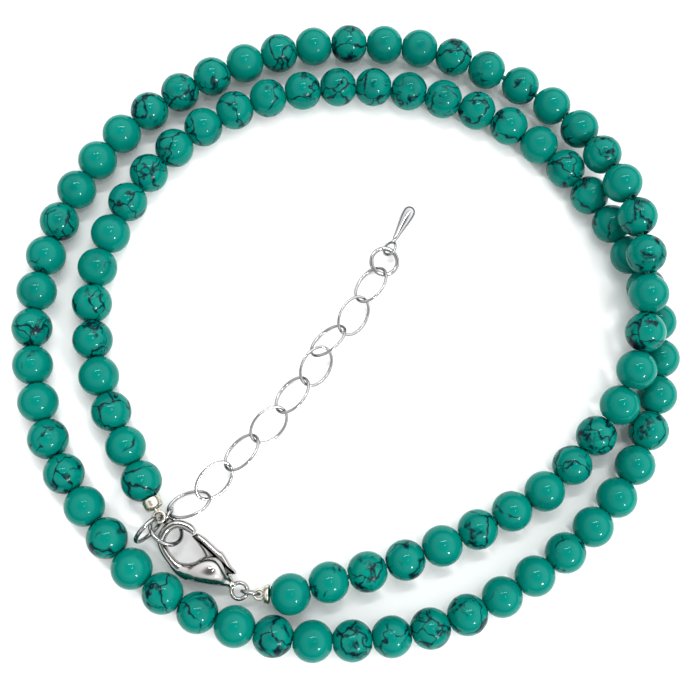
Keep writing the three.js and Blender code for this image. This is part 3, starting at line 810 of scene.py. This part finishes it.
def makeClaspBody():
    middle = clasp["middle"]
    ex, ey = clasp["eye"]
    neckPlace = Matrix.Translation((clasp["neckStart"], ey, middle))
    neck = moved(lathe(neckRows, 32), neckPlace @ Matrix.Rotation(math.radians(90), 4, "Y"))
    hole, rim, thick = clasp["eyeHole"], clasp["eyeRadius"], clasp["eyeThickness"] / 2
    eyeRows = []
    for k in range(16):
        angle = 2 * math.pi * k / 16
        eyeRows.append(((hole + rim) / 2 + (rim - hole) / 2 * math.cos(angle), thick * math.sin(angle)))
    eye = moved(lathe(eyeRows, 48, closed=True), Matrix.Translation((ex, ey, middle)))
    obj = toObject(toMesh("claspBody", *joinParts([sweptLimb(), loftedBody(), neck, eye])))
    remesh = obj.modifiers.new("weld", "REMESH")
    remesh.mode = "VOXEL"
    remesh.voxel_size = clasp["voxel"]
    applyModifiers(obj)
    # The belly is blended well into the limb, the rest only a little.
    belly = obj.vertex_groups.new(name="belly")
    spanStart, spanEnd = clasp["bellySpan"]
    for vert in obj.data.vertices:
        fromEnds = min(vert.co.x - spanStart, spanEnd - vert.co.x) / clasp["bellyFade"]
        belly.add([vert.index], max(0.0, min(1.0, fromEnds)), "REPLACE")
    for name, steps in (("soften", clasp["softenSteps"]), ("blend", clasp["blendSteps"])):
        smooth = obj.modifiers.new(name, "SMOOTH")
        smooth.factor = 0.5
        smooth.iterations = steps
    obj.modifiers["blend"].vertex_group = "belly"
    applyModifiers(obj)
    gap = clasp["slot"] / 2
    cutWith(obj, layeredPlate(slotOutline, [(middle - gap, 0), (middle + gap, 0)]))
    radius, long = clasp["recessRadius"], clasp["recessHalf"]
    recess = lathe([(0, -long), (radius, -long), (radius, long), (0, long)], 24)
    cutWith(obj, moved(recess, Matrix.Translation((*clasp["pivot"], middle))))
    obj.data.transform(claspMatrix)
    obj.data.materials.clear()
    obj.data.materials.append(castSilver)
    obj.data.shade_smooth()
    obj.data.set_sharp_from_angle(angle=math.radians(40))
    finishPiece(obj, "necklace", "silver", "clasp_body")


def makeLever():
    middle, half = clasp["middle"], clasp["leverThickness"] / 2
    rows = smoothLine([(x, y, 0) for x, y in leverRows], 126, closed=True)
    outline = [(p.x, p.y) for p in rows]
    layers = [(middle - half, 0.16), (middle - half + 0.05, 0.08), (middle - half + 0.14, 0.0),
              (middle - 0.05, 0.0), (middle + half - 0.24, 0.03), (middle + half - 0.08, 0.1),
              (middle + half, 0.17)]

    def bevel(point, inwards, height):
        # Above the middle the outer edge rounds over and the edge facing the hollow slopes broadly.
        if height < middle:
            return 1.0
        taper = max(0.0, min(1.0, point[0] - clasp["bevelStart"]))
        fade = max(0.0, min(1.0, (clasp["slopeEnd"] - point[0]) / clasp["slopeFade"]))
        slope, rounding = max(0.0, inwards.y) * fade, max(0.0, -inwards.y)
        return 1.0 + taper * (clasp["slopeGain"] * slope + clasp["roundGain"] * rounding)

    radius, long, ease = clasp["pinRadius"], clasp["pinHalf"], clasp["pinBevel"]
    pin = lathe([(0, -long), (radius - ease, -long), (radius, ease - long), (radius, long - ease),
                 (radius - ease, long), (0, long)], 24)
    parts = joinParts([layeredPlate(outline, layers, bevel),
                       moved(pin, Matrix.Translation((*clasp["pivot"], middle)))])
    obj = toObject(toMesh("claspLever", *parts, claspMatrix), castSilver, 38)
    finishPiece(obj, "lever", "silver", "clasp_lever")


makeClaspBody()
makeLever()
print("clasp cast")


studio = {
    "floorHalf": 1.2,       # in metres
    "floor": "#F4F4F4",
    "skyTop": 0.3,          # straight overhead
    "skyShoulder": 1.75,
    "skyHorizon": 0.03,
    "skySide": 0.45,        # how much brighter the far right side is than the mean
    "skyStops": (0.12, 0.55, 0.75, 0.99),   # sines of height: horizon's end, shoulder from and to, top
}
lamps = {   # place, length or diameter and width (None for a disk) in mm, power in watts, roll in degrees
    "roundLamp": ((190, -245, 225), 54, None, 0.5, 0),
    "longTube": ((20, 165, 400), 270, 20, 0.5, 18),
    "shortTube": ((80, -5, 420), 80, 16, 0.12, -35),
}
camera = {
    "place": (-3.07, -23.74, 105.25),   # in mm from the coil's middle
    "towards": -8.77,                   # the side it leans from, and how far, in degrees
    "lean": 11.54,
    "lens": 50,
    "sensor": 36,
}


def makeFloor():
    half = studio["floorHalf"]
    corners = [(-half, -half, 0), (half, -half, 0), (half, half, 0), (-half, half, 0)]
    floor = toObject(toMesh("floor", corners, [[0, 1, 2, 3]]))
    # Matt white card with a slight tooth, so it takes soft shadows and mirrors nothing.
    material, tree, output = newMaterial("whiteCard")
    coords = addNode(tree, "ShaderNodeTexCoord")
    tooth = addNode(tree, "ShaderNodeTexNoise", {"Vector": coords.outputs["Object"], "Scale": 700.0})
    bump = addNode(tree, "ShaderNodeBump", {"Strength": 0.03, "Distance": 0.05 * mm,
                                            "Height": tooth.outputs["Fac"]})
    shader = addNode(tree, "ShaderNodeBsdfPrincipled", {"Base Color": linearColour(studio["floor"]),
                                                        "Roughness": 0.8, "Normal": bump.outputs["Normal"]})
    tree.links.new(shader.outputs[0], output.inputs[0])
    floor.data.materials.append(material)


def makeSky():
    # A pale room: dark near the horizon, brightest halfway up and towards the far right.
    world = bpy.data.worlds.new("studio")
    bpy.context.scene.world = world
    world.use_nodes = True
    tree = world.node_tree
    tree.nodes.clear()
    ray = addNode(tree, "ShaderNodeNewGeometry")
    parts = addNode(tree, "ShaderNodeSeparateXYZ", {0: ray.outputs["Incoming"]})
    # The incoming direction points back at the eye, so its signs are turned.
    height = addNode(tree, "ShaderNodeMath", {0: parts.outputs["Z"], 1: -1.0}, operation="MULTIPLY")
    level = addNode(tree, "ShaderNodeValToRGB", {"Fac": height.outputs[0]})
    grey = [(value, value, value, 1.0) for value in
            (studio["skyHorizon"], studio["skyShoulder"], studio["skyTop"])]
    level.color_ramp.interpolation = "EASE"
    setRamp(level, list(zip(studio["skyStops"], (grey[0], grey[1], grey[1], grey[2]))))
    side = addNode(tree, "ShaderNodeVectorMath", {0: ray.outputs["Incoming"], 1: (-0.8, -0.6, 0.0)},
                   operation="DOT_PRODUCT")
    tilt = addNode(tree, "ShaderNodeMath", {0: side.outputs["Value"], 1: studio["skySide"], 2: 1.0},
                   operation="MULTIPLY_ADD")
    sky = addNode(tree, "ShaderNodeBackground", {"Color": level.outputs["Color"],
                                                 "Strength": tilt.outputs[0]})
    addNode(tree, "ShaderNodeOutputWorld", {0: sky.outputs[0]})


def addLamp(name, place, length, width, power, roll):
    # Aimed at the frame's origin and rolled about its own aim.
    lamp = bpy.data.lights.new(name, "AREA")
    lamp.shape = "RECTANGLE" if width else "DISK"
    lamp.size = length * mm
    if width:
        lamp.size_y = width * mm
    lamp.energy = power
    obj = bpy.data.objects.new(name, lamp)
    bpy.context.scene.collection.objects.link(obj)
    obj.location = Vector(place) * mm
    aimed = (-Vector(place)).to_track_quat("-Z", "Y").to_matrix().to_4x4()
    obj.rotation_euler = (aimed @ Matrix.Rotation(math.radians(roll), 4, "Z")).to_euler()


def makeStudio():
    makeFloor()
    makeSky()
    for name, row in lamps.items():
        addLamp(name, *row)


def makeCamera():
    data = bpy.data.cameras.new("camera")
    data.lens = camera["lens"]
    data.sensor_width = camera["sensor"]
    data.clip_start = 0.005
    data.clip_end = 10
    obj = bpy.data.objects.new("camera", data)
    bpy.context.scene.collection.objects.link(obj)
    towards, lean = math.radians(camera["towards"]), math.radians(camera["lean"])
    turned = (Matrix.Rotation(towards, 4, "Z") @ Matrix.Rotation(lean, 4, "X")
              @ Matrix.Rotation(-towards, 4, "Z"))
    obj.matrix_world = Matrix.Translation(Vector(camera["place"]) * mm + coilCentre) @ turned
    bpy.context.scene.camera = obj


makeStudio()
makeCamera()
bpy.context.scene.view_settings.view_transform = "Standard"
bpy.context.scene.view_settings.look = "Medium High Contrast"
print("studio lit")
